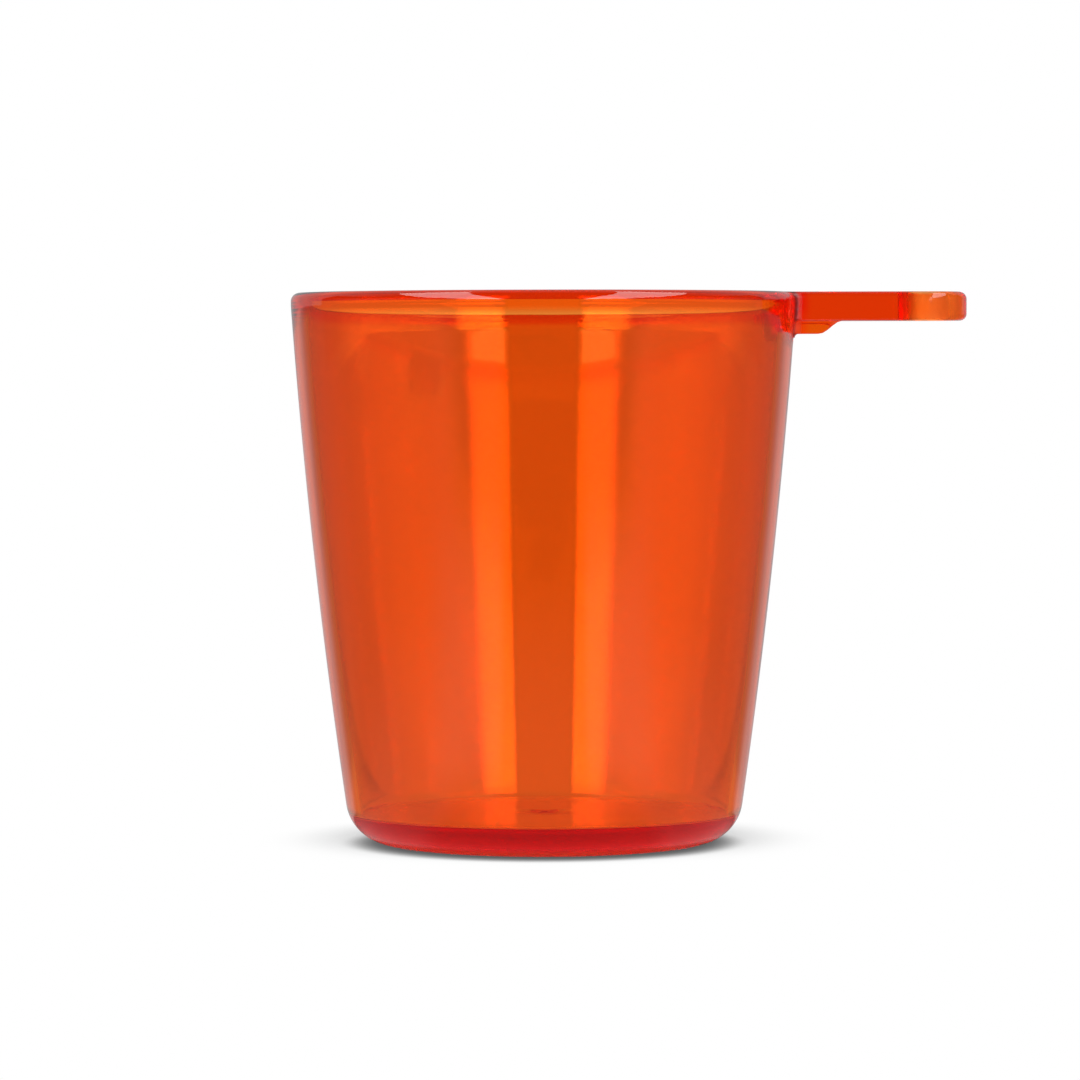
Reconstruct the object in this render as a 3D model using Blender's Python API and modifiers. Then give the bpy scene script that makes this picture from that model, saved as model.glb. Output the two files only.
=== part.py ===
# Clear drinking cup with a flat hanging handle at its rim.
# Metres, +Z up. The origin is the middle of the base; the handle points along +X.
import math

import bmesh
import bpy

# Cup
CUP_HEIGHT = 0.0872
RIM_RADIUS = 0.0400            # outer radius where the lip begins
BASE_RADIUS = 0.0305           # outer radius that the wall would reach without its rounded heel
WALL_BULGE = 0.00085           # how far the wall stands outside a straight cone at half height
WALL_AT_RIM = 0.00245          # the wall's taper at the rim, without the swell of the lip
WALL_AT_BASE = 0.00212
RIM_SWELL = 0.00036            # how far the inside leans in towards the lip
SWELL_HEIGHT = 0.0080          # height below the lip over which it does so
FLOOR_THICKNESS = 0.0050
HEEL_RADIUS = 0.0070
INNER_CORNER_RADIUS = 0.0009
GATE_RADIUS = 0.0024           # moulding gate mark in the middle of the floor
GATE_HEIGHT = 0.0003

# Handle
HANDLE_LENGTH = 0.0271         # from the rim's outer face to the tip
HANDLE_THICKNESS = 0.0046
HANDLE_EDGE_RADIUS = 0.0006
HOLE_RADIUS = 0.0042           # hanging hole
RING_WIDTH = 0.0027            # material round the hanging hole
PAD_LENGTH = 0.0044            # level underside of the deeper root, from the rim's outer face
PAD_DROP = 0.00205             # how far the root reaches below the handle's underside
PAD_RUN = 0.0036               # length over which the root rises to the underside
PAD_SETBACK = 0.0019           # how far the root's sides stand in from the handle's sides
PAD_EDGE_RADIUS = 0.0004

# Fit and resolution
ROOT_GAP = 0.0003              # between the handle's root and the cup's wall
CUTTER_MARGIN = 0.0020         # how far a cutter runs past what it cuts
MERGE_DISTANCE = 0.00001
TURN_STEPS = 72
WALL_STEPS = 14
LIP_STEPS = 8
HEEL_STEPS = 7
CORNER_STEPS = 5
TIP_STEPS = 24
RISE_STEPS = 5
HOLE_STEPS = 40
EDGE_SEGMENTS = 3
SHARP_ANGLE = math.radians(35)
BEVEL_ANGLE = math.radians(60)

# Sizes that follow from the ones above
LIP_RADIUS = (WALL_AT_RIM + RIM_SWELL) / 2
LIP_LEVEL = CUP_HEIGHT - LIP_RADIUS
HANDLE_HALF_WIDTH = HOLE_RADIUS + RING_WIDTH
HANDLE_TIP = RIM_RADIUS + HANDLE_LENGTH
HOLE_CENTRE = HANDLE_TIP - HANDLE_HALF_WIDTH
HANDLE_MIDDLE = CUP_HEIGHT - HANDLE_THICKNESS / 2
UNDERSIDE = CUP_HEIGHT - HANDLE_THICKNESS
ROOT_START = RIM_RADIUS - HANDLE_HALF_WIDTH


def outer_radius(z):
    share = z / LIP_LEVEL
    cone = BASE_RADIUS + (RIM_RADIUS - BASE_RADIUS) * share
    return cone + 4 * WALL_BULGE * share * (1 - share)


def inner_radius(z):
    wall = WALL_AT_BASE + (WALL_AT_RIM - WALL_AT_BASE) * z / LIP_LEVEL
    swell = max(0.0, 1 - (LIP_LEVEL - z) / SWELL_HEIGHT)
    return outer_radius(z) - wall - RIM_SWELL * swell ** 2


def lean(radius_at, z):
    # Angle of the wall from the vertical at height z.
    step = CUP_HEIGHT / 1000
    return math.atan2(radius_at(z + step) - radius_at(z - step), 2 * step)


def arc(centre, radius, start, end, steps):
    angles = [start + (end - start) * i / steps for i in range(steps + 1)]
    return [(centre[0] + radius * math.cos(a), centre[1] + radius * math.sin(a)) for a in angles]


def bottom_corner(radius_at, level, radius, steps):
    # Arc from the wall down to a level face, tangent to both.
    angle = lean(radius_at, level + radius)
    top = level + radius * (1 - math.sin(angle))
    centre = (radius_at(top) - radius * math.cos(angle), level + radius)
    return arc(centre, radius, -angle, -math.pi / 2, steps)


def wall_points(radius_at, start, end):
    # Points strictly between two heights of a wall.
    heights = [start + (end - start) * i / WALL_STEPS for i in range(1, WALL_STEPS)]
    return [(radius_at(z), z) for z in heights]


def cup_profile():
    # From the floor's middle up the inside, over the lip and down the outside to the base's middle.
    gate_level = FLOOR_THICKNESS + GATE_HEIGHT
    gate = [(0.0, gate_level), (GATE_RADIUS, gate_level), (GATE_RADIUS, FLOOR_THICKNESS)]
    inner_corner = bottom_corner(inner_radius, FLOOR_THICKNESS, INNER_CORNER_RADIUS, CORNER_STEPS)
    inner_corner.reverse()
    heel = bottom_corner(outer_radius, 0.0, HEEL_RADIUS, HEEL_STEPS)
    lip = arc(
        (outer_radius(LIP_LEVEL) - LIP_RADIUS, LIP_LEVEL),
        LIP_RADIUS,
        math.pi - lean(inner_radius, LIP_LEVEL),
        -lean(outer_radius, LIP_LEVEL),
        LIP_STEPS,
    )
    inside = wall_points(inner_radius, inner_corner[-1][1], lip[0][1])
    outside = wall_points(outer_radius, lip[-1][1], heel[0][1])
    return gate + inner_corner + inside + lip + outside + heel + [(0.0, 0.0)]


def wall_cutter_profile():
    # The cup's outer face moved out by the root gap, run past the handle above and below.
    top = CUP_HEIGHT + CUTTER_MARGIN
    bottom = UNDERSIDE - PAD_DROP - CUTTER_MARGIN
    heights = [top + (bottom - top) * i / WALL_STEPS for i in range(WALL_STEPS + 1)]
    side = [(outer_radius(z) + ROOT_GAP, z) for z in heights]
    return [(0.0, top)] + side + [(0.0, bottom)]


def handle_outline():
    # Plan view: straight sides and a round tip, run into the cup's wall to be cut there.
    tip = arc((HOLE_CENTRE, 0.0), HANDLE_HALF_WIDTH, -math.pi / 2, math.pi / 2, TIP_STEPS)
    return [(ROOT_START, -HANDLE_HALF_WIDTH)] + tip + [(ROOT_START, HANDLE_HALF_WIDTH)]


def pad_outline():
    # Side view of the deeper root: a level underside that rises to the handle in two equal arcs.
    level = UNDERSIDE - PAD_DROP
    turn = 2 * math.atan2(PAD_DROP, PAD_RUN)
    radius = PAD_RUN / (2 * math.sin(turn))
    start = RIM_RADIUS + PAD_LENGTH
    end = start + PAD_RUN
    lower = arc((start, level + radius), radius, -math.pi / 2, -math.pi / 2 + turn, RISE_STEPS)
    upper = arc((end, UNDERSIDE - radius), radius, math.pi / 2 + turn, math.pi / 2, RISE_STEPS)
    top = [(end, HANDLE_MIDDLE), (ROOT_START, HANDLE_MIDDLE)]
    return [(ROOT_START, level)] + lower + upper[1:] + top


def add_collection(name):
    collection = bpy.data.collections.new(name)
    bpy.context.scene.collection.children.link(collection)
    return collection


def add_object(name, data, collection):
    item = bpy.data.objects.new(name, data)
    collection.objects.link(item)
    return item


def add_turned(name, profile, collection):
    # A profile in the XZ plane, turned once round Z.
    mesh = bpy.data.meshes.new(name)
    points = [(r, 0.0, z) for r, z in profile]
    mesh.from_pydata(points, [(i, i + 1) for i in range(len(points) - 1)], [])
    item = add_object(name, mesh, collection)
    screw = item.modifiers.new("turn", "SCREW")
    screw.axis = "Z"
    screw.angle = 2 * math.pi
    screw.steps = TURN_STEPS
    screw.render_steps = TURN_STEPS
    screw.use_merge_vertices = True
    screw.merge_threshold = MERGE_DISTANCE
    screw.use_smooth_shade = True
    return item


def add_plate(name, outline, thickness, location, rotation, collection):
    # A flat outline with a thickness, made as a filled curve and kept as a closed mesh.
    curve = bpy.data.curves.new(name, "CURVE")
    curve.dimensions = "2D"
    curve.fill_mode = "BOTH"
    curve.extrude = thickness / 2
    spline = curve.splines.new("POLY")
    spline.points.add(len(outline) - 1)
    for point, (x, y) in zip(spline.points, outline):
        point.co = (x, y, 0.0, 1.0)
    spline.use_cyclic_u = True
    source = add_object(name + "_outline", curve, collection)
    source.location = location
    source.rotation_euler = rotation
    bpy.context.view_layer.update()
    graph = bpy.context.evaluated_depsgraph_get()
    mesh = bpy.data.meshes.new_from_object(source.evaluated_get(graph))
    shape = bmesh.new()
    shape.from_mesh(mesh)
    bmesh.ops.remove_doubles(shape, verts=shape.verts, dist=MERGE_DISTANCE)
    bmesh.ops.recalc_face_normals(shape, faces=shape.faces)
    shape.to_mesh(mesh)
    shape.free()
    mesh.name = name
    item = add_object(name, mesh, collection)
    item.matrix_world = source.matrix_world.copy()
    bpy.data.objects.remove(source)
    return item


def round_edges(item, radius):
    bevel = item.modifiers.new("round edges", "BEVEL")
    bevel.width = radius
    bevel.segments = EDGE_SEGMENTS
    bevel.limit_method = "ANGLE"
    bevel.angle_limit = BEVEL_ANGLE


def combine(item, other, operation):
    boolean = item.modifiers.new(operation.lower() + " " + other.name, "BOOLEAN")
    boolean.operation = operation
    boolean.object = other
    boolean.solver = "EXACT"


def make_helper(item):
    item.hide_render = True
    item.display_type = "WIRE"


def add_plastic(name, colour, roughness):
    material = bpy.data.materials.new(name)
    material.use_nodes = True
    shader = material.node_tree.nodes["Principled BSDF"]
    shader.inputs["Base Color"].default_value = (*colour, 1.0)
    shader.inputs["Roughness"].default_value = roughness
    shader.inputs["Metallic"].default_value = 0.0
    shader.inputs["Transmission Weight"].default_value = 0.9
    return material


def shade_smooth(item):
    item.data.shade_smooth()
    item.data.set_sharp_from_angle(angle=SHARP_ANGLE)


def make_cup_body(parts):
    body = add_turned("cup_body", cup_profile(), parts)
    body.data.materials.append(add_plastic("clear orange plastic, cup", (0.80, 0.12, 0.01), 0.05))
    return body


def make_handle(parts, cutters):
    level = (0.0, 0.0, HANDLE_MIDDLE)
    handle = add_plate(
        "handle", handle_outline(), HANDLE_THICKNESS, level, (0.0, 0.0, 0.0), parts
    )
    handle.data.materials.append(add_plastic("clear orange plastic, handle", (0.72, 0.04, 0.01), 0.05))
    round_edges(handle, HANDLE_EDGE_RADIUS)

    pad_width = 2 * (HANDLE_HALF_WIDTH - PAD_SETBACK)
    upright = (math.pi / 2, 0.0, 0.0)
    pad = add_plate("handle_pad", pad_outline(), pad_width, (0.0, 0.0, 0.0), upright, cutters)
    round_edges(pad, PAD_EDGE_RADIUS)

    wall_cutter = add_turned("wall_cutter", wall_cutter_profile(), cutters)

    bpy.ops.mesh.primitive_cylinder_add(
        vertices=HOLE_STEPS,
        radius=HOLE_RADIUS,
        depth=HANDLE_THICKNESS + 2 * CUTTER_MARGIN,
        location=(HOLE_CENTRE, 0.0, HANDLE_MIDDLE),
    )
    hole_cutter = bpy.context.object
    hole_cutter.name = "hole_cutter"
    for collection in list(hole_cutter.users_collection):
        collection.objects.unlink(hole_cutter)
    cutters.objects.link(hole_cutter)

    for helper in (pad, wall_cutter, hole_cutter):
        make_helper(helper)
    combine(handle, pad, "UNION")
    combine(handle, wall_cutter, "DIFFERENCE")
    combine(handle, hole_cutter, "DIFFERENCE")
    shade_smooth(handle)
    return handle


def main():
    for item in list(bpy.data.objects):
        bpy.data.objects.remove(item)
    parts = add_collection("drinking_cup")
    cutters = add_collection("drinking_cup_cutters")
    origin = add_object("cup_origin", None, parts)
    body = make_cup_body(parts)
    handle = make_handle(parts, cutters)
    for item in (body, handle):
        item.parent = origin


main()
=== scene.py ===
import math

import bmesh
import bpy
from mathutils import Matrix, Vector


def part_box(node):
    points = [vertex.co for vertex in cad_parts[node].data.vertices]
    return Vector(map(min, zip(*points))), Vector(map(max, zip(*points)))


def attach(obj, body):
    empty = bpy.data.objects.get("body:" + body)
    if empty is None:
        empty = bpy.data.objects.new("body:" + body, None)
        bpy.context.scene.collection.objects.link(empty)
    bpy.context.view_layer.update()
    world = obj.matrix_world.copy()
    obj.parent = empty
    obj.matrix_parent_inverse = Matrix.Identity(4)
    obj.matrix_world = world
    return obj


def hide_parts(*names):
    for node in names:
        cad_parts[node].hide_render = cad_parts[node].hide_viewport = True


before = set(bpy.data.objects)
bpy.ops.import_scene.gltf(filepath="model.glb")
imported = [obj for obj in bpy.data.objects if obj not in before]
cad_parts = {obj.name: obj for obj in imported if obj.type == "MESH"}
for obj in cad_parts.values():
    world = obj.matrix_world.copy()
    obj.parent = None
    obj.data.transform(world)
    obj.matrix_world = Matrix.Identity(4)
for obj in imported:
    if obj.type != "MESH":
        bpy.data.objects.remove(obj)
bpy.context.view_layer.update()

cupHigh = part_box("cup_body")[1]
tabLow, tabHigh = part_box("handle")

# cup: a turned shell, metres
cup = {
    "height": cupHigh.z,
    "rimRadius": cupHigh.y,
    "baseRadius": 0.0305,
    "bulge": 0.00085,          # wall stands this far outside a straight cone
    "wallAtRim": 0.00245,
    "wallAtBase": 0.00212,
    "rimSwell": 0.00033,       # inside leans in towards the lip
    "swellHeight": 0.0050,
    "lipBlend": 0.0015,        # outside turns upright just under the lip
    "floorThickness": 0.0050,
    "heelRadius": 0.0070,
    "innerCorner": 0.0004,
    "gateRadius": 0.0024,
    "gateHeight": 0.0003,
    "gateEdge": 0.0004,
    "gateRows": 5,
    "turnSteps": 170,
    "wallRows": 40,
    "swellRows": 30,           # closer rows where the inside leans in
    "lipRows": 16,
    "heelRows": 18,
    "cornerRows": 14,
    "floorRows": 8,
    "slopeStep": 0.02,         # share of a corner's radius over which the wall's slope is taken
    "mergeWithin": 1.5e-6,
    "leastEdge": 1e-7,
}
lipRadius = (cup["wallAtRim"] + cup["rimSwell"]) / 2
lipLevel = cup["height"] - lipRadius

# handle: a flat tab with a hanging hole, and a deeper pad at its root
tab = {
    "tip": tabHigh.x,
    "halfWidth": tabHigh.y,
    "padBottom": tabLow.z,
    "padDrop": 0.00205,        # how far the pad reaches below the underside
    "padHalfWidth": 0.0050,
    "padSide": 0.0002,         # width of the pad's steep sides
    "padEnd": 0.0435,
    "padRun": 0.0036,
    "holeRadius": 0.0042,
    "holeEdge": 0.0004,
    "rootFillet": 0.0012,      # seen from above
    "underFillet": 0.0006,     # between wall and underside
    "topEdge": 0.0010,
    "bottomEdge": 0.00035,
    "tipTopEdge": 0.0012,
    "tipBottomEdge": 0.0011,
    "belowPad": 0.0012,        # wall ring under the pad where the turned shell goes on
    "sectorAngle": math.radians(13),
    "columns": {"wall": 3, "fillet": 8, "side": 18, "hole": 10, "tip": 14},
    "padRows": (0.0, 0.35, 0.65, 0.88, 1.0),
    "padSideRows": 6,
    "outerRows": 4,
    "edgeRows": 12,
    "sideRows": 18,
    "sideCrowding": 1.6,       # rows lie closer near the top
    "evenFrom": 0.62,          # share of the side from which the rows even out towards the hole
}
underside = tab["padBottom"] + tab["padDrop"]
holeX = tab["tip"] - tab["halfWidth"]
bendX = holeX - tab["halfWidth"]
ringLevel = tab["padBottom"] - tab["belowPad"]


def lerp(a, b, share):
    return a + (b - a) * share


def ease(share):
    share = min(1.0, max(0.0, share))
    return share * share * (3 - 2 * share)


def outerRadius(z):
    depth = max(0.0, lipLevel - z)
    reach = cup["lipBlend"]
    soft = depth * depth / (2 * reach) if depth < reach else depth - reach / 2
    share = 1 - soft / lipLevel
    cone = lerp(cup["baseRadius"], cup["rimRadius"], share)
    return cone + 4 * cup["bulge"] * share * (1 - share)


def innerRadius(z):
    wall = lerp(cup["wallAtBase"], cup["wallAtRim"], z / lipLevel)
    swell = max(0.0, 1 - (lipLevel - z) / cup["swellHeight"])
    return outerRadius(z) - wall - cup["rimSwell"] * swell ** 2


def lowCorner(radiusAt, level, radius, rows):
    # arc from a wall down to a level face
    step = radius * cup["slopeStep"]
    middle = level + radius
    angle = math.atan2(radiusAt(middle + step) - radiusAt(middle - step), 2 * step)
    top = level + radius * (1 - math.sin(angle))
    centre = radiusAt(top) - radius * math.cos(angle)
    turn = [lerp(-angle, -math.pi / 2, i / rows) for i in range(rows + 1)]
    return [(centre + radius * math.cos(a), middle + radius * math.sin(a)) for a in turn]


def innerProfile():
    # middle of the floor, out and up to the top of the lip
    level = cup["floorThickness"]
    raised = level + cup["gateHeight"]
    gate = cup["gateRadius"]
    edge = cup["gateEdge"]
    points = [(0.0, raised), (gate / 2, raised), (gate - edge, raised)]
    for i in range(1, cup["gateRows"] + 1):
        share = i / cup["gateRows"]
        points.append((gate - edge + edge * share, lerp(raised, level, ease(share))))
    corner = lowCorner(innerRadius, level, cup["innerCorner"], cup["cornerRows"])[::-1]
    for i in range(1, cup["floorRows"]):
        points.append((lerp(gate, corner[0][0], i / cup["floorRows"]), level))
    points += corner
    swellFrom = lipLevel - cup["swellHeight"]
    lean = math.atan(2 * cup["rimSwell"] / cup["swellHeight"])
    lipFrom = lipLevel - lipRadius * math.sin(lean)
    rows = cup["wallRows"]
    heights = [lerp(corner[-1][1], swellFrom, i / rows) for i in range(1, rows)]
    rows = cup["swellRows"]
    heights += [lerp(swellFrom, lipFrom, i / rows) for i in range(rows)]
    points += [(innerRadius(z), z) for z in heights]
    middle = cup["rimRadius"] - lipRadius
    for i in range(cup["lipRows"] + 1):
        a = lerp(-lean, math.pi / 2, i / cup["lipRows"])
        points.append((middle - lipRadius * math.cos(a), lipLevel + lipRadius * math.sin(a)))
    return points


def lowerProfile():
    # from the ring under the handle down to the middle of the base
    heel = lowCorner(outerRadius, 0.0, cup["heelRadius"], cup["heelRows"])
    points = []
    for i in range(cup["wallRows"]):
        z = lerp(ringLevel, heel[0][1], i / cup["wallRows"])
        points.append((outerRadius(z), z))
    points += heel
    for i in range(1, cup["floorRows"] + 1):
        points.append((lerp(heel[-1][0], 0.0, i / cup["floorRows"]), 0.0))
    return points


def rowOffsets():
    # distances from the handle's middle line to the grid lines over the pad
    inner = tab["padHalfWidth"] - tab["padSide"] / 2
    rows = [inner * share for share in tab["padRows"]]
    for i in range(1, tab["padSideRows"] + 1):
        rows.append(inner + tab["padSide"] * i / tab["padSideRows"])
    return rows


acrossPad = rowOffsets()
rowCount = len(acrossPad) + tab["outerRows"]


def acrossTo(row, reach):
    # grid line's distance from the middle line, where the last line is at reach
    if row < len(acrossPad):
        return acrossPad[row]
    share = (row - len(acrossPad) + 1) / tab["outerRows"]
    return lerp(acrossPad[-1], reach, share)


def sectorAngles():
    ring = outerRadius(ringLevel)
    reach = ring * math.sin(tab["sectorAngle"])
    return [math.asin(acrossTo(row, reach) / ring) for row in range(rowCount)]


def columnList():
    columns = [("wall", 0.0)]
    for part, count in tab["columns"].items():
        columns += [(part, (i + 1) / count) for i in range(count)]
    return columns


def outlinePoint(part, share, z, inset):
    # handle's outline from the cup's wall to the middle of its tip, moved in by inset
    wall = outerRadius(z)
    fillet = tab["rootFillet"]
    half = tab["halfWidth"]
    centreY = half + fillet
    centreX = math.sqrt((wall + fillet) ** 2 - centreY ** 2)
    tangent = math.atan2(centreY, centreX)
    if part == "wall":
        a = lerp(tab["sectorAngle"], tangent, share)
        return (wall - inset) * math.cos(a), (wall - inset) * math.sin(a)
    if part == "fillet":
        a = lerp(math.pi + tangent, 1.5 * math.pi, share)
        return centreX + (fillet + inset) * math.cos(a), centreY + (fillet + inset) * math.sin(a)
    if part == "side":
        return lerp(centreX, bendX, share), half - inset
    if part == "hole":
        return lerp(bendX, holeX, share), half - inset
    a = math.pi / 2 * (1 - share)
    return holeX + (half - inset) * math.cos(a), (half - inset) * math.sin(a)


def edgeRadius(part, share, atWall, along, atTip):
    if part == "wall":
        return atWall
    if part == "fillet":
        return lerp(atWall, along, ease(share))
    if part == "tip":
        return lerp(along, atTip, ease(share))
    return along


def topEdge(part, share):
    return edgeRadius(part, share, lipRadius, tab["topEdge"], tab["tipTopEdge"])


def bottomEdge(part, share):
    return edgeRadius(part, share, 0.0, tab["bottomEdge"], tab["tipBottomEdge"])


def padDepth(x, y):
    side = tab["padHalfWidth"] - tab["padSide"] / 2
    across = 1 - ease((abs(y) - side) / tab["padSide"])
    along = 1 - ease((x - tab["padEnd"]) / tab["padRun"])
    return (underside - tab["padBottom"]) * across * along


def undersideLevel(x, y):
    # underside with its pad, curved down into the wall
    fillet = tab["underFillet"]
    away = min(fillet, max(0.0, math.hypot(x, y) - outerRadius(underside)))
    return underside - padDepth(x, y) - fillet + math.sqrt(fillet ** 2 - (fillet - away) ** 2)


def bottomLevel(part, share):
    if part == "wall":
        return lerp(ringLevel, underside - tab["underFillet"], share)
    if part == "fillet":
        x, y = outlinePoint(part, share, underside, bottomEdge(part, share))
        return undersideLevel(x, y)
    return underside


def edgeColumn(part, along):
    # points down the handle's side, from its flat top to its underside
    rows = tab["edgeRows"]
    top = topEdge(part, along)
    bottom = bottomEdge(part, along)
    level = bottomLevel(part, along)
    places = []
    for i in range(rows + 1):
        a = math.pi / 2 * i / rows
        places.append((cup["height"] - top * (1 - math.cos(a)), top * (1 - math.sin(a))))
    for i in range(1, tab["sideRows"] + 1):
        share = (i / tab["sideRows"]) ** tab["sideCrowding"]
        places.append((lerp(cup["height"] - top, level + bottom, share), 0.0))
    for i in range(1, rows + 1):
        a = math.pi / 2 * i / rows
        places.append((level + bottom * (1 - math.sin(a)), bottom * (1 - math.cos(a))))
    return [(*outlinePoint(part, along, z, inset), z) for z, inset in places]


def holePoint(part, share, radius):
    a = math.pi * (1 - share / 2) if part == "hole" else math.pi / 2 * (1 - share)
    return holeX + radius * math.cos(a), radius * math.sin(a)


def gridShare(row, reach, part, share):
    # even spacing round the hole, the pad's own spacing near the root
    even = row / (rowCount - 1)
    if part in ("hole", "tip"):
        return even
    padShare = acrossTo(row, reach) / reach
    if part != "side":
        return padShare
    start = tab["evenFrom"]
    return lerp(padShare, even, ease((share - start) / (1 - start)))


def topColumn(part, share):
    rim = cup["rimRadius"]
    crest = rim - lipRadius
    ringEdge = tab["holeRadius"] + tab["holeEdge"]
    if part == "wall" and share == 0:
        return [(crest * math.cos(a), crest * math.sin(a), cup["height"]) for a in sectorAngles()]
    endX, endY = outlinePoint(part, share, cup["height"], topEdge(part, share))
    if part == "wall":
        startX, startY = lerp(crest, rim, share), 0.0
    elif part == "fillet":
        startX, startY = lerp(rim, rim + tab["rootFillet"], share), 0.0
    elif part == "side":
        startX, startY = lerp(rim + tab["rootFillet"], holeX - ringEdge, share), 0.0
    else:
        startX, startY = holePoint(part, share, ringEdge)
    points = []
    for row in range(rowCount):
        t = gridShare(row, endY, part, share)
        points.append((lerp(startX, endX, t), lerp(startY, endY, t), cup["height"]))
    return points


def bottomColumn(part, share):
    fillet = tab["underFillet"]
    wall = outerRadius(underside)
    ringEdge = tab["holeRadius"] + tab["holeEdge"]
    level = bottomLevel(part, share)
    endX, endY = outlinePoint(part, share, level, bottomEdge(part, share))
    points = []
    for row in range(rowCount):
        t = gridShare(row, endY, part, share)
        if part == "wall":
            y = acrossTo(row, endY)
            x = math.sqrt(outerRadius(level) ** 2 - y ** 2)
            top = underside - padDepth(wall, y) - fillet
            z = lerp(ringLevel, top, share)
            a = math.asin(y / math.hypot(x, y))
            points.append((outerRadius(z) * math.cos(a), outerRadius(z) * math.sin(a), z))
            continue
        if part == "fillet":
            away = fillet * (1 - math.cos(math.pi / 2 * share))
            far = math.hypot(endX, endY) - wall
            y = acrossTo(row, endY)
            x = math.sqrt((wall + lerp(away, far, t)) ** 2 - y ** 2)
        elif part == "side":
            startX = lerp(wall + fillet, holeX - ringEdge, share)
            x, y = lerp(startX, endX, t), endY * t
        else:
            startX, startY = holePoint(part, share, ringEdge)
            x, y = lerp(startX, endX, t), lerp(startY, endY, t)
        points.append((x, y, undersideLevel(x, y)))
    points[-1] = (endX, endY, level)
    return points


def holeColumn(part, share):
    rows = tab["edgeRows"]
    edge = tab["holeEdge"]
    radius = tab["holeRadius"]
    places = []
    for i in range(rows + 1):
        a = math.pi / 2 * i / rows
        places.append((radius + edge * (1 - math.sin(a)), cup["height"] - edge * (1 - math.cos(a))))
    for i in range(rows, -1, -1):
        a = math.pi / 2 * i / rows
        places.append((radius + edge * (1 - math.sin(a)), underside + edge * (1 - math.cos(a))))
    return [(*holePoint(part, share, r), z) for r, z in places]


def addGrid(shape, lines):
    # quads between neighbouring lines of points
    made = [[shape.verts.new(point) for point in line] for line in lines]
    for near, far in zip(made, made[1:]):
        for i in range(len(near) - 1):
            shape.faces.new((near[i], near[i + 1], far[i + 1], far[i]))


def turned(profile, angles):
    return [[(r * math.cos(a), r * math.sin(a), z) for r, z in profile] for a in angles]


def mirrored(lines):
    return [[(x, -y, z) for x, y, z in line] for line in lines]


def cupMesh():
    shape = bmesh.new()
    sector = sectorAngles()
    edge = tab["sectorAngle"]
    steps = cup["turnSteps"]
    around = [lerp(edge, 2 * math.pi - edge, i / steps) for i in range(steps + 1)]
    allRound = [-a for a in sector[:0:-1]] + sector + around[1:]
    addGrid(shape, turned(innerProfile(), allRound))
    addGrid(shape, turned(lowerProfile(), allRound))
    lipAndWall = [(math.hypot(x, y), z) for x, y, z in edgeColumn("wall", 0.0)]
    addGrid(shape, turned(lipAndWall, around))
    columns = columnList()
    holeColumns = [("hole", 0.0)] + [c for c in columns if c[0] in ("hole", "tip")]
    patches = [
        [edgeColumn(*c) for c in columns],
        [topColumn(*c) for c in columns],
        [bottomColumn(*c) for c in columns],
        [holeColumn(*c) for c in holeColumns],
    ]
    for lines in patches:
        addGrid(shape, lines)
        addGrid(shape, mirrored(lines))
    bmesh.ops.remove_doubles(shape, verts=shape.verts, dist=cup["mergeWithin"])
    bmesh.ops.dissolve_degenerate(shape, edges=shape.edges, dist=cup["leastEdge"])
    bmesh.ops.recalc_face_normals(shape, faces=shape.faces)
    openEdges = sum(1 for e in shape.edges if len(e.link_faces) != 2)
    print("cup mesh:", len(shape.faces), "faces,", openEdges, "edges not closed")
    mesh = bpy.data.meshes.new("cup")
    shape.to_mesh(mesh)
    shape.free()
    mesh.shade_smooth()
    return mesh


# clear orange plastic
plastic = {
    "tint": (0.83, 0.437, 0.16),           # per wall that light crosses
    # painted shade: the lip is tinted deeper than the plastic, so it looks darker
    "rimShadeTint": (0.81, 0.17, 0.01),         # deeper along the lip
    "rimFrom": 0.0042,                     # below the top
    "rimTo": 0.0022,
    # painted light: the underside and the heel's foot are tinted paler, so the base looks brighter
    "baseLightTint": (1.0, 0.95, 0.80),         # underside and foot of the heel
    "baseTintTo": 0.0040,
    "absorb": (0.003, 0.22, 0.6),          # per millimetre
    "absorbRoom": 1.05,                    # keeps the absorption's colour off black
    "ior": 1.56,
    "roughness": 0.02,
    "baseRoughness": 1.0,                  # matt underside
    "baseFrom": 0.0004,
    "baseTo": 0.0018,
    "holeRoughness": 0.4,                  # satin wall of the hanging hole
    "holeBlend": 0.0003,
    "rootRoughness": 0.35,                 # satin where the handle grows out of the wall
    "rootReach": 0.0085,                   # from the middle of the root
    "rootBlend": 0.0030,
    "rootEnd": (0.0404, 0.0410),
    "rootBelow": 0.0025,                   # satin fades out below the handle's pad
    # painted light: the handle's thick middle is tinted paler, so it looks brighter
    "tabLightTint": (0.78, 0.75, 0.30),         # handle's thick middle
    "tabFrom": (0.0408, 0.0425),
    # painted light: the handle's tip round the hanging hole is tinted paler, so it looks brighter
    "tipLightTint": (0.97, 0.62, 0.40),
    "tipFrom": (0.0572, 0.0586),
    "waveScale": 70.0,                     # faint waves, as moulded faces have
    "waveHeight": 0.00002,
    "rubScale": 900.0,                     # fine rub marks
    "rubFrom": 0.55,
    "rubTo": 0.75,
    "rubRoughness": 0.03,
    "cloudScale": 45.0,                    # faint unevenness of the colour
    "cloudDark": 0.985,
    "cloudPale": 1.015,
    "floorRoughness": 0.08,                # added on the floor inside
    "floorBlend": 0.0010,
}


def newMaterial(name):
    material = bpy.data.materials.new(name)
    material.use_nodes = True
    tree = material.node_tree
    tree.nodes.clear()
    return material, tree.nodes, tree.links


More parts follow.
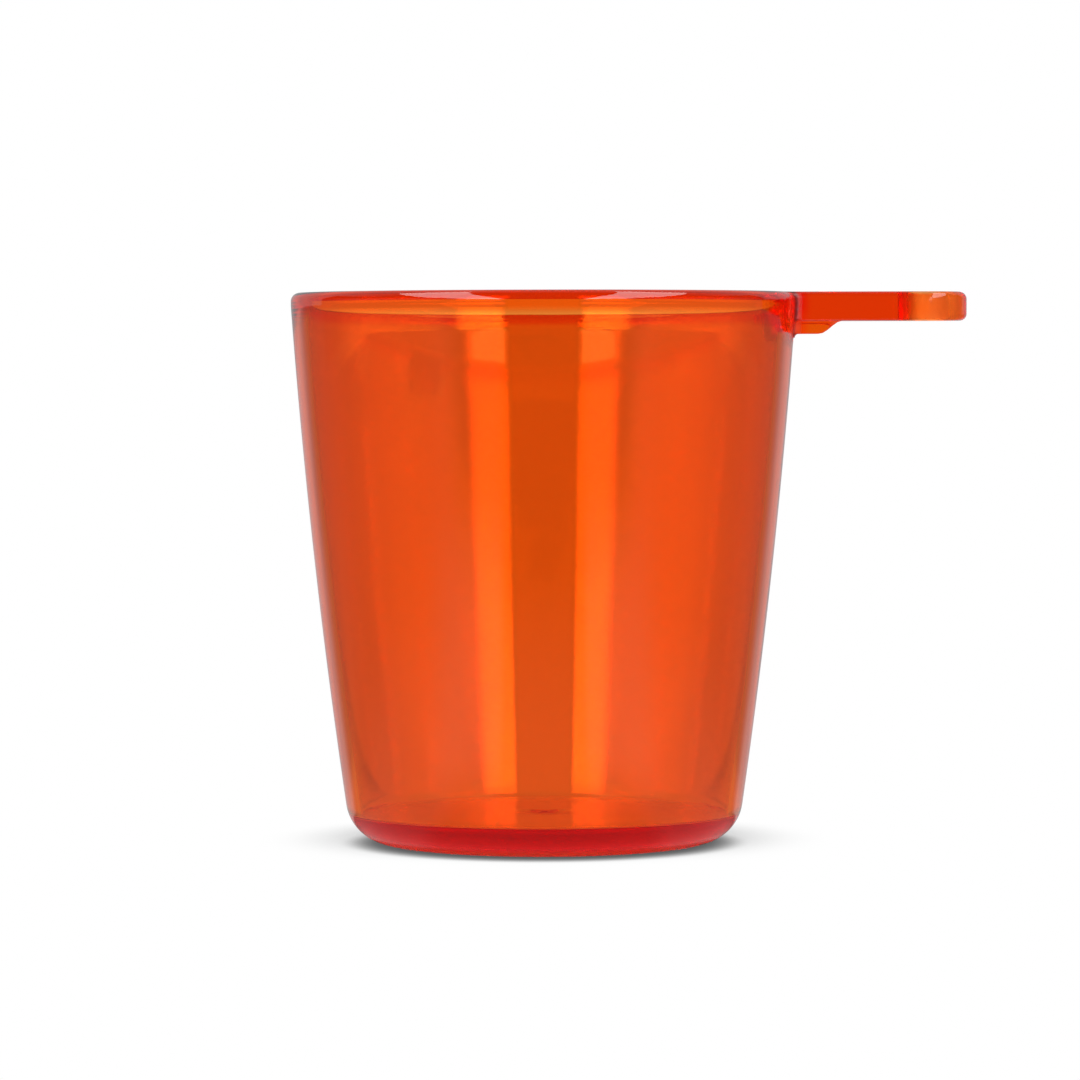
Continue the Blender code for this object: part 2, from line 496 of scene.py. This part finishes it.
def mapRange(nodes, links, source, low, high, start, end):
    ramp = nodes.new("ShaderNodeMapRange")
    ramp.interpolation_type = "SMOOTHSTEP"
    ramp.inputs["From Min"].default_value = low
    ramp.inputs["From Max"].default_value = high
    ramp.inputs["To Min"].default_value = start
    ramp.inputs["To Max"].default_value = end
    links.new(source, ramp.inputs["Value"])
    return ramp.outputs["Result"]


def mathOf(nodes, links, operation, *values):
    step = nodes.new("ShaderNodeMath")
    step.operation = operation
    for socket, value in zip(step.inputs, values):
        if isinstance(value, float):
            socket.default_value = value
        else:
            links.new(value, socket)
    return step.outputs[0]


def sumOf(nodes, links, first, second):
    return mathOf(nodes, links, "ADD", first, second)


def productOf(nodes, links, first, second):
    return mathOf(nodes, links, "MULTIPLY", first, second)


def blendOf(nodes, links, share, first, second):
    # first where share is 0, second where it is 1
    blend = nodes.new("ShaderNodeMix")
    links.new(share, blend.inputs["Factor"])
    for name, value in (("A", first), ("B", second)):
        if isinstance(value, float):
            blend.inputs[name].default_value = value
        else:
            links.new(value, blend.inputs[name])
    return blend.outputs["Result"]


def distanceTo(nodes, links, source, point):
    span = nodes.new("ShaderNodeVectorMath")
    span.operation = "DISTANCE"
    span.inputs[1].default_value = point
    links.new(source, span.inputs[0])
    return span.outputs["Value"]


def noiseOf(nodes, links, source, scale):
    noise = nodes.new("ShaderNodeTexNoise")
    noise.inputs["Scale"].default_value = scale
    links.new(source, noise.inputs["Vector"])
    return noise.outputs["Fac"]


def sideAngle(nodes, links, split, back):
    # angle from the middle plane to a place, measured from behind or from the front
    aside = mathOf(nodes, links, "ABSOLUTE", split.outputs["X"])
    along = productOf(nodes, links, split.outputs["Y"], 1.0 if back else -1.0)
    return mathOf(nodes, links, "ARCTAN2", aside, along)


def plasticRoughness(nodes, links, coords, split):
    z = split.outputs["Z"]
    rough = mapRange(
        nodes, links, z, plastic["baseFrom"], plastic["baseTo"],
        plastic["baseRoughness"], plastic["roughness"]
    )
    flat = nodes.new("ShaderNodeCombineXYZ")
    links.new(split.outputs["X"], flat.inputs["X"])
    links.new(split.outputs["Y"], flat.inputs["Y"])
    fromHole = distanceTo(nodes, links, flat.outputs["Vector"], (holeX, 0, 0))
    radius = tab["holeRadius"]
    hole = mapRange(
        nodes, links, fromHole, radius, radius + plastic["holeBlend"], plastic["holeRoughness"], 0
    )

    # satin root of the handle, inside the wall and above the foot of the pad
    root = (cup["rimRadius"], 0, (underside + cup["height"]) / 2)
    reach = plastic["rootReach"]
    satin = mapRange(
        nodes, links, distanceTo(nodes, links, coords, root), reach, reach + plastic["rootBlend"],
        plastic["rootRoughness"], 0
    )
    satinFrom = tab["padBottom"] - plastic["rootBelow"]
    for limit in (
        mapRange(nodes, links, split.outputs["X"], *plastic["rootEnd"], 1, 0),
        mapRange(nodes, links, z, satinFrom, tab["padBottom"], 0, 1),
    ):
        satin = productOf(nodes, links, satin, limit)

    fromAxis = distanceTo(nodes, links, flat.outputs["Vector"], (0, 0, 0))
    blend = plastic["floorBlend"]
    floorEdge = innerRadius(cup["floorThickness"]) - blend / 2
    onFloor = mapRange(
        nodes, links, fromAxis, floorEdge - blend, floorEdge, plastic["floorRoughness"], 0
    )
    floorTop = cup["floorThickness"] + cup["gateHeight"]
    low = mapRange(nodes, links, z, floorTop, floorTop + blend, 1, 0)
    rubs = noiseOf(nodes, links, coords, plastic["rubScale"])
    rubs = mapRange(
        nodes, links, rubs, plastic["rubFrom"], plastic["rubTo"], 0, plastic["rubRoughness"]
    )
    for more in (hole, satin, productOf(nodes, links, onFloor, low), rubs):
        rough = sumOf(nodes, links, rough, more)
    return rough


def plasticColour(nodes, links, coords, split):
    x, z = split.outputs["X"], split.outputs["Z"]
    top = cup["height"]
    # painted shade along the lip; painted light at the base, in the handle's middle and at its tip
    shares = (
        ("rimShadeTint", mapRange(nodes, links, z, top - plastic["rimFrom"], top - plastic["rimTo"], 0, 1)),
        ("baseLightTint", mapRange(nodes, links, z, 0.0, plastic["baseTintTo"], 1, 0)),
        ("tabLightTint", mapRange(nodes, links, x, *plastic["tabFrom"], 0, 1)),
        ("tipLightTint", mapRange(nodes, links, x, *plastic["tipFrom"], 0, 1)),
    )
    colour = None
    for name, share in shares:
        tint = nodes.new("ShaderNodeMix")
        tint.data_type = "RGBA"
        links.new(share, tint.inputs["Factor"])
        if colour:
            links.new(colour, tint.inputs["A"])
        else:
            tint.inputs["A"].default_value = (*plastic["tint"], 1)
        tint.inputs["B"].default_value = (*plastic[name], 1)
        colour = tint.outputs["Result"]
    clouds = noiseOf(nodes, links, coords, plastic["cloudScale"])
    clouds = mapRange(nodes, links, clouds, 0, 1, plastic["cloudDark"], plastic["cloudPale"])
    uneven = nodes.new("ShaderNodeHueSaturation")
    links.new(clouds, uneven.inputs["Value"])
    links.new(colour, uneven.inputs["Color"])
    return uneven.outputs["Color"]


def clearPlastic():
    material, nodes, links = newMaterial("clear orange plastic")
    output = nodes.new("ShaderNodeOutputMaterial")
    shader = nodes.new("ShaderNodeBsdfPrincipled")
    shader.inputs["Transmission Weight"].default_value = 1.0
    shader.inputs["IOR"].default_value = plastic["ior"]
    coords = nodes.new("ShaderNodeTexCoord").outputs["Object"]
    split = nodes.new("ShaderNodeSeparateXYZ")
    links.new(coords, split.inputs["Vector"])
    links.new(plasticRoughness(nodes, links, coords, split), shader.inputs["Roughness"])
    links.new(plasticColour(nodes, links, coords, split), shader.inputs["Base Color"])
    bump = nodes.new("ShaderNodeBump")
    bump.inputs["Distance"].default_value = plastic["waveHeight"]
    links.new(noiseOf(nodes, links, coords, plastic["waveScale"]), bump.inputs["Height"])
    links.new(bump.outputs["Normal"], shader.inputs["Normal"])

    volume = nodes.new("ShaderNodeVolumeAbsorption")
    most = max(plastic["absorb"]) * plastic["absorbRoom"]
    volume.inputs["Density"].default_value = most * 1000    # per metre
    volume.inputs["Color"].default_value = (*[1 - a / most for a in plastic["absorb"]], 1)
    links.new(shader.outputs["BSDF"], output.inputs["Surface"])
    links.new(volume.outputs["Volume"], output.inputs["Volume"])
    return material


def addPiece(name, data):
    piece = bpy.data.objects.new(name, data)
    bpy.context.scene.collection.objects.link(piece)
    return piece


cupPiece = addPiece("cup_with_handle", cupMesh())
cupPiece.data.materials.append(clearPlastic())
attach(cupPiece, "root")
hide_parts("cup_body", "handle")
print("cup placed")

# pale floor, white to the camera and through the cup, darker for reflections, with painted shade and
# light there
floor = {
    "size": 3.0,
    "drop": 0.0002,
    "shadows": (               # soft wide shadow that lies further back, and a dark line at the foot
        {"reach": 0.019, "lean": 0.75, "tone": 0.25, "to": 0.93},
        {"reach": 0.0042, "lean": 0.0, "tone": 0.35, "to": 0.92},
    ),
    # painted shade in front and painted light at the sides, seen only in reflections
    "frontTone": 0.03,         # mirrored in the cup's outside: dark in front, paler at the sides
    "sideTone": 0.15,
    "frontTo": math.radians(34),
    "sideFrom": math.radians(48),
    # painted reflections of the light strips on the floor
    "stripTone": 0.30,         # strips mirrored in the floor, fading away from the cup
    "stripFar": 0.08,
    "stripNear": (0.045, 0.085),
    "stripFade": (0.16, 0.32),
    "stripInner": (math.radians(17), math.radians(21)),
    "stripOuter": (math.radians(35), math.radians(60)),
    # painted pool of light round the foot
    "footTone": 0.16,          # added round the foot of the cup
    "footFrom": 0.06,
    "footTo": 0.22,
    "footAngle": (math.radians(75), math.radians(110)),
    # painted light in a wedge behind
    "backTone": 0.36,          # added in a wedge behind
    "wedgeX": 0.035,           # where the wedge starts, either side of the middle
    "wedgeLeast": 0.00875,     # least distance from there, so that nothing divides by zero
    "backFrom": 1.00,          # way back for each metre to the side
    "backTo": 1.70,
}


def glowOf(nodes, links, strength):
    glow = nodes.new("ShaderNodeEmission")
    glow.inputs["Color"].default_value = (1, 1, 1, 1)
    if isinstance(strength, float):
        glow.inputs["Strength"].default_value = strength
    else:
        links.new(strength, glow.inputs["Strength"])
    return glow.outputs["Emission"]


def mixOf(nodes, links, share, first, second):
    mix = nodes.new("ShaderNodeMixShader")
    links.new(share, mix.inputs["Fac"])
    links.new(first, mix.inputs[1])
    links.new(second, mix.inputs[2])
    return mix.outputs["Shader"]


def floorMaterial():
    material, nodes, links = newMaterial("pale floor")
    output = nodes.new("ShaderNodeOutputMaterial")
    place = nodes.new("ShaderNodeNewGeometry")
    path = nodes.new("ShaderNodeLightPath")
    split = nodes.new("ShaderNodeSeparateXYZ")
    links.new(place.outputs["Position"], split.inputs["Vector"])
    length = nodes.new("ShaderNodeVectorMath")
    length.operation = "LENGTH"
    links.new(place.outputs["Position"], length.inputs[0])

    light = None
    for shadow in floor["shadows"]:
        lean = nodes.new("ShaderNodeCombineXYZ")
        lean.inputs["Y"].default_value = -shadow["lean"]
        lean.inputs["Z"].default_value = 1.0
        shade = nodes.new("ShaderNodeAmbientOcclusion")
        shade.inputs["Distance"].default_value = shadow["reach"]
        links.new(lean.outputs["Vector"], shade.inputs["Normal"])
        level = mapRange(nodes, links, shade.outputs["AO"], 0.0, shadow["to"], shadow["tone"], 1.0)
        light = productOf(nodes, links, light, level) if light else level
    shown = glowOf(nodes, links, light)

    # painted tones that the cup's outside mirrors: painted shade in front, painted light at the sides,
    # painted reflections of the light strips, a painted pool of light round the foot and a painted
    # wedge of light behind
    angle = sideAngle(nodes, links, split, False)
    tone = mapRange(
        nodes, links, angle, floor["frontTo"], floor["sideFrom"], floor["frontTone"], floor["sideTone"]
    )
    away = length.outputs["Value"]
    strip = mapRange(nodes, links, away, *floor["stripFade"], floor["stripTone"], floor["stripFar"])
    for limit in (
        mapRange(nodes, links, away, *floor["stripNear"], 0, 1),
        mapRange(nodes, links, angle, *floor["stripInner"], 0, 1),
        mapRange(nodes, links, angle, *floor["stripOuter"], 1, 0),
    ):
        strip = productOf(nodes, links, strip, limit)
    aside = mathOf(nodes, links, "ABSOLUTE", split.outputs["X"])
    outward = mathOf(nodes, links, "SUBTRACT", aside, floor["wedgeX"])
    outward = mathOf(nodes, links, "MAXIMUM", outward, floor["wedgeLeast"])
    slope = mathOf(nodes, links, "DIVIDE", split.outputs["Y"], outward)
    wedge = mapRange(
        nodes, links, slope, floor["backFrom"], floor["backTo"], 0, floor["backTone"]
    )
    foot = mapRange(nodes, links, away, floor["footFrom"], floor["footTo"], floor["footTone"], 0)
    foot = productOf(nodes, links, foot, mapRange(nodes, links, angle, *floor["footAngle"], 1, 0))
    for more in (strip, wedge, foot):
        tone = sumOf(nodes, links, tone, more)
    paintedReflectionTone = glowOf(nodes, links, tone)
    white = glowOf(nodes, links, 1.0)
    through = mixOf(nodes, links, path.outputs["Is Transmission Ray"], paintedReflectionTone, white)
    choose = mixOf(nodes, links, path.outputs["Is Camera Ray"], through, shown)
    links.new(choose, output.inputs["Surface"])
    return material


def floorMesh():
    shape = bmesh.new()
    bmesh.ops.create_grid(shape, x_segments=1, y_segments=1, size=floor["size"])
    mesh = bpy.data.meshes.new("floor")
    shape.to_mesh(mesh)
    shape.free()
    return mesh


floorPiece = addPiece("floor", floorMesh())
floorPiece.location.z = -floor["drop"]
floorPiece.data.materials.append(floorMaterial())
print("floor placed")

# surroundings: white to the camera and low down through the cup
room = {
    "fill": 0.25,              # light on matt surfaces
    "mirrorBack": 0.45,        # what the outside mirrors
    "mirrorFront": 0.03,
    "frontY": -0.35,
    "backY": 0.60,
    "lowZ": 0.07,              # through the cup, white but for the dark above in front
    "highZ": 0.14,
    "above": 0.10,
    "darkToY": -0.75,
    "whiteFromY": -0.45,
}


def setWorld():
    world = bpy.data.worlds.new("studio")
    world.use_nodes = True
    bpy.context.scene.world = world
    nodes, links = world.node_tree.nodes, world.node_tree.links
    nodes.clear()
    output = nodes.new("ShaderNodeOutputWorld")
    back = nodes.new("ShaderNodeBackground")
    back.inputs["Color"].default_value = (1, 1, 1, 1)
    coords = nodes.new("ShaderNodeTexCoord")
    split = nodes.new("ShaderNodeSeparateXYZ")
    links.new(coords.outputs["Generated"], split.inputs["Vector"])
    path = nodes.new("ShaderNodeLightPath")
    y, z = split.outputs["Y"], split.outputs["Z"]

    mirror = mapRange(
        nodes, links, y, room["frontY"], room["backY"], room["mirrorFront"], room["mirrorBack"]
    )
    low = mapRange(nodes, links, z, room["lowZ"], room["highZ"], 1, room["above"])
    behind = mapRange(nodes, links, y, room["darkToY"], room["whiteFromY"], 0, 1)
    through = blendOf(nodes, links, behind, low, 1.0)
    level = blendOf(nodes, links, path.outputs["Is Diffuse Ray"], mirror, room["fill"])
    level = blendOf(nodes, links, path.outputs["Is Transmission Ray"], level, through)
    level = blendOf(nodes, links, path.outputs["Is Camera Ray"], level, 1.0)
    links.new(level, back.inputs["Strength"])
    links.new(back.outputs["Background"], output.inputs["Surface"])


setWorld()

# two lamps lean over the cup from the front, one on each side
panel = {
    "innerX": 0.27,
    "outerX": 0.75,
    "footY": -0.83,
    "headY": 0.25,
    "rise": 1.0,
    "footAbove": 0.008,        # foot's height over the rim
    "radiance": 3.6,
}


def addPanel(name, centre, facing, width, height, radiance):
    data = bpy.data.lights.new(name, "AREA")
    data.shape = "RECTANGLE"
    data.size = width
    data.size_y = height
    data.energy = radiance * math.pi * width * height
    light = bpy.data.objects.new(name, data)
    bpy.context.scene.collection.objects.link(light)
    light.location = centre
    light.rotation_euler = Vector(facing).to_track_quat("-Z", "Y").to_euler()
    return light


for side, name in ((-1, "left"), (1, "right")):
    run = panel["headY"] - panel["footY"]
    centre = (
        side * (panel["innerX"] + panel["outerX"]) / 2,
        (panel["headY"] + panel["footY"]) / 2,
        cup["height"] + panel["footAbove"] + run * panel["rise"] / 2,
    )
    addPanel(
        name + " panel", centre, (0, panel["rise"], -1),
        panel["outerX"] - panel["innerX"], run * math.hypot(1, panel["rise"]), panel["radiance"]
    )

# lamp far in front, above the view, seen only through the cup
frontPanel = {
    "distance": 3.0,
    "halfWidth": 1.1,
    "low": 0.575,
    "high": 1.6,
    "radiance": 2.0,
}
frontLight = addPanel(
    "front panel",
    (0, -frontPanel["distance"], (frontPanel["low"] + frontPanel["high"]) / 2), (0, 1, 0),
    2 * frontPanel["halfWidth"], frontPanel["high"] - frontPanel["low"], frontPanel["radiance"]
)
frontLight.visible_diffuse = frontLight.visible_glossy = False

# curved light screen on each side: a bright strip, then a faint glow further round
screen = {
    "distance": 0.90,
    "low": 0.003,
    "high": 0.560,
    "columns": 40,
    "fromAngle": math.radians(16.5),
    "stripFrom": math.radians(20.5),
    "stripTo": math.radians(35.5),
    "glowFrom": math.radians(43),
    "sideFrom": math.radians(56),
    "sideTo": math.radians(85),
    "toAngle": math.radians(118),
    "riseZ": 0.165,            # strip is brightest across its middle
    "fullZ": (0.178, 0.193),
    "dimZ": 0.206,
    "dimStrip": 13.5,
    "fullStrip": 24.0,
    "dimGlow": 0.6,
    "fullGlow": 6.0,
    "left": 4.5,
    "right": 3.5,
    "overRim": 0.12,           # share that shows over the rim, from the strip
    "overSide": 0.06,          # and from further round
    "lowTone": 0.13,           # low down, mirrored in upright faces
    "lowZ": 0.10,
    "overZ": 0.16,
    "topZ": (0.262, 0.275),    # strip and glow end here
    "tallZ": (0.330, 0.350),   # and start again, seen by way of the cup's floor
    "tallStrip": 15.0,
    "tallGlow": 5.0,
    "tallFade": (math.radians(62), math.radians(85)),
}


def screenMesh(side):
    shape = bmesh.new()
    rows = []
    for z in (screen["low"], screen["high"]):
        row = []
        for i in range(screen["columns"] + 1):
            a = lerp(screen["fromAngle"], screen["toAngle"], i / screen["columns"])
            x, y = screen["distance"] * math.sin(a), -screen["distance"] * math.cos(a)
            row.append((side * x, y, z))
        rows.append(row)
    addGrid(shape, rows)
    mesh = bpy.data.meshes.new("screen")
    shape.to_mesh(mesh)
    shape.free()
    return mesh


def screenMaterial(sideGlow):
    material, nodes, links = newMaterial("light screen")
    output = nodes.new("ShaderNodeOutputMaterial")
    place = nodes.new("ShaderNodeNewGeometry")
    path = nodes.new("ShaderNodeLightPath")
    split = nodes.new("ShaderNodeSeparateXYZ")
    links.new(place.outputs["Position"], split.inputs["Vector"])
    angle = sideAngle(nodes, links, split, False)
    z = split.outputs["Z"]
    fullLow, fullHigh = screen["fullZ"]
    rise = mapRange(nodes, links, z, screen["riseZ"], fullLow, 0, 1)
    fall = mapRange(nodes, links, z, fullHigh, screen["dimZ"], 1, 0)
    middle = productOf(nodes, links, rise, fall)
    stripGlow = blendOf(nodes, links, middle, screen["dimStrip"], screen["fullStrip"])
    nearGlow = blendOf(nodes, links, middle, screen["dimGlow"], screen["fullGlow"])
    outward = mapRange(nodes, links, angle, screen["glowFrom"], screen["sideFrom"], 0, 1)
    glow = blendOf(nodes, links, outward, nearGlow, sideGlow)
    past = mapRange(nodes, links, angle, screen["stripTo"], screen["glowFrom"], 0, 1)
    glow = blendOf(nodes, links, past, stripGlow, glow)
    inner = mapRange(nodes, links, angle, screen["fromAngle"], screen["stripFrom"], 0, 1)
    fade = mapRange(nodes, links, angle, screen["sideTo"], screen["toAngle"], 0, 1)
    glow = blendOf(nodes, links, fade, productOf(nodes, links, glow, inner), 1.0)
    tall = mapRange(nodes, links, z, *screen["topZ"], 0, 1)
    tallGlow = mapRange(
        nodes, links, angle, screen["stripTo"], screen["glowFrom"],
        screen["tallStrip"], screen["tallGlow"]
    )
    for limit in (inner, mapRange(nodes, links, angle, *screen["tallFade"], 1, 0)):
        tallGlow = productOf(nodes, links, tallGlow, limit)
    upper = mapRange(nodes, links, z, *screen["tallZ"], 0, 1)
    tallGlow = blendOf(nodes, links, upper, room["above"], tallGlow)
    glow = blendOf(nodes, links, tall, glow, tallGlow)
    overShare = blendOf(nodes, links, outward, screen["overRim"], screen["overSide"])
    high = mapRange(nodes, links, z, screen["lowZ"], screen["overZ"], 0, 1)
    over = blendOf(nodes, links, high, screen["lowTone"], productOf(nodes, links, glow, overShare))
    over = blendOf(nodes, links, tall, over, room["mirrorFront"])
    strength = blendOf(nodes, links, path.outputs["Is Transmission Ray"], over, glow)
    links.new(glowOf(nodes, links, strength), output.inputs["Surface"])
    material.cycles.emission_sampling = "NONE"
    return material


def addCard(name, mesh, material, inMirror):
    # seen through the wall, and in its reflections where inMirror is set
    piece = addPiece(name, mesh)
    piece.data.materials.append(material)
    piece.visible_camera = piece.visible_diffuse = piece.visible_shadow = False
    piece.visible_glossy = inMirror


for side, name in ((-1, "left"), (1, "right")):
    addCard(name + "_screen", screenMesh(side), screenMaterial(screen[name]), True)

# grey cards behind, left and right of the view, darken the edges of the clear wall
card = {
    "nearest": 0.050,          # white here, full tone from the next
    "fullFrom": 0.110,
    "distance": 0.90,
    "fromAngle": math.radians(8),
    "paleFrom": math.radians(12),
    "paleTo": math.radians(24),
    "darkFrom": math.radians(28),
    "darkTo": math.radians(31),
    "greyFrom": math.radians(36),
    "greyTo": math.radians(50),
    "toAngle": math.radians(60),
    "lift": 0.0005,
    "height": 0.50,
    "pale": 0.92,
    "dark": 0.55,
    "grey": 0.70,
    "columns": 16,
}


def cardMesh(side):
    # lies on the floor, then stands up
    shape = bmesh.new()
    rows = []
    near, far = card["nearest"], card["distance"]
    for reach, z in ((near, card["lift"]), (far, card["lift"]), (far, card["height"])):
        row = []
        for i in range(card["columns"] + 1):
            a = lerp(card["fromAngle"], card["toAngle"], i / card["columns"])
            row.append((side * reach * math.sin(a), reach * math.cos(a), z))
        rows.append(row)
    addGrid(shape, rows)
    mesh = bpy.data.meshes.new("card")
    shape.to_mesh(mesh)
    shape.free()
    return mesh


def cardMaterial():
    material, nodes, links = newMaterial("grey card")
    output = nodes.new("ShaderNodeOutputMaterial")
    place = nodes.new("ShaderNodeNewGeometry")
    split = nodes.new("ShaderNodeSeparateXYZ")
    links.new(place.outputs["Position"], split.inputs["Vector"])
    angle = sideAngle(nodes, links, split, True)
    pale, dark, grey = card["pale"], card["dark"], card["grey"]
    tone = mapRange(nodes, links, angle, card["fromAngle"], card["paleFrom"], 1, pale)
    for start, end, change in (
        ("paleTo", "darkFrom", dark - pale),
        ("darkTo", "greyFrom", grey - dark),
        ("greyTo", "toAngle", 1 - grey),
    ):
        step = mapRange(nodes, links, angle, card[start], card[end], 0, change)
        tone = sumOf(nodes, links, tone, step)
    away = distanceTo(nodes, links, place.outputs["Position"], (0, 0, 0))
    near = mapRange(nodes, links, away, card["nearest"], card["fullFrom"], 1, 0)
    tone = blendOf(nodes, links, near, tone, 1.0)
    links.new(glowOf(nodes, links, tone), output.inputs["Surface"])
    return material


cardGrey = cardMaterial()
for side, name in ((-1, "left"), (1, "right")):
    addCard(name + "_card", cardMesh(side), cardGrey, False)
print("lights placed")

# camera at the photo's view; the photo is 1080 pixels square
view = {
    "distance": 0.780,
    "height": 0.0781,
    "sensor": 36.0,
    "lens": 163.8,
    "pitch": math.radians(2.215),
    "roll": math.radians(-0.12),
    "axisShift": -0.0006,
    "clipStart": 0.01,
}


def addCamera():
    data = bpy.data.cameras.new("camera")
    data.sensor_width = view["sensor"]
    data.lens = view["lens"]
    data.clip_start = view["clipStart"]
    camera = bpy.data.objects.new("camera", data)
    bpy.context.scene.collection.objects.link(camera)
    camera.location = (view["axisShift"], -view["distance"], view["height"])
    camera.rotation_mode = "ZYX"
    camera.rotation_euler = (math.pi / 2 - view["pitch"], 0.0, view["roll"])
    bpy.context.scene.camera = camera


addCamera()
bpy.context.scene.view_settings.view_transform = "Standard"

# light zigzags in the thick base and handle, so paths are long
bounces = {"all": 40, "mirror": 24, "through": 40}
bpy.context.scene.cycles.max_bounces = bounces["all"]
bpy.context.scene.cycles.glossy_bounces = bounces["mirror"]
bpy.context.scene.cycles.transmission_bounces = bounces["through"]
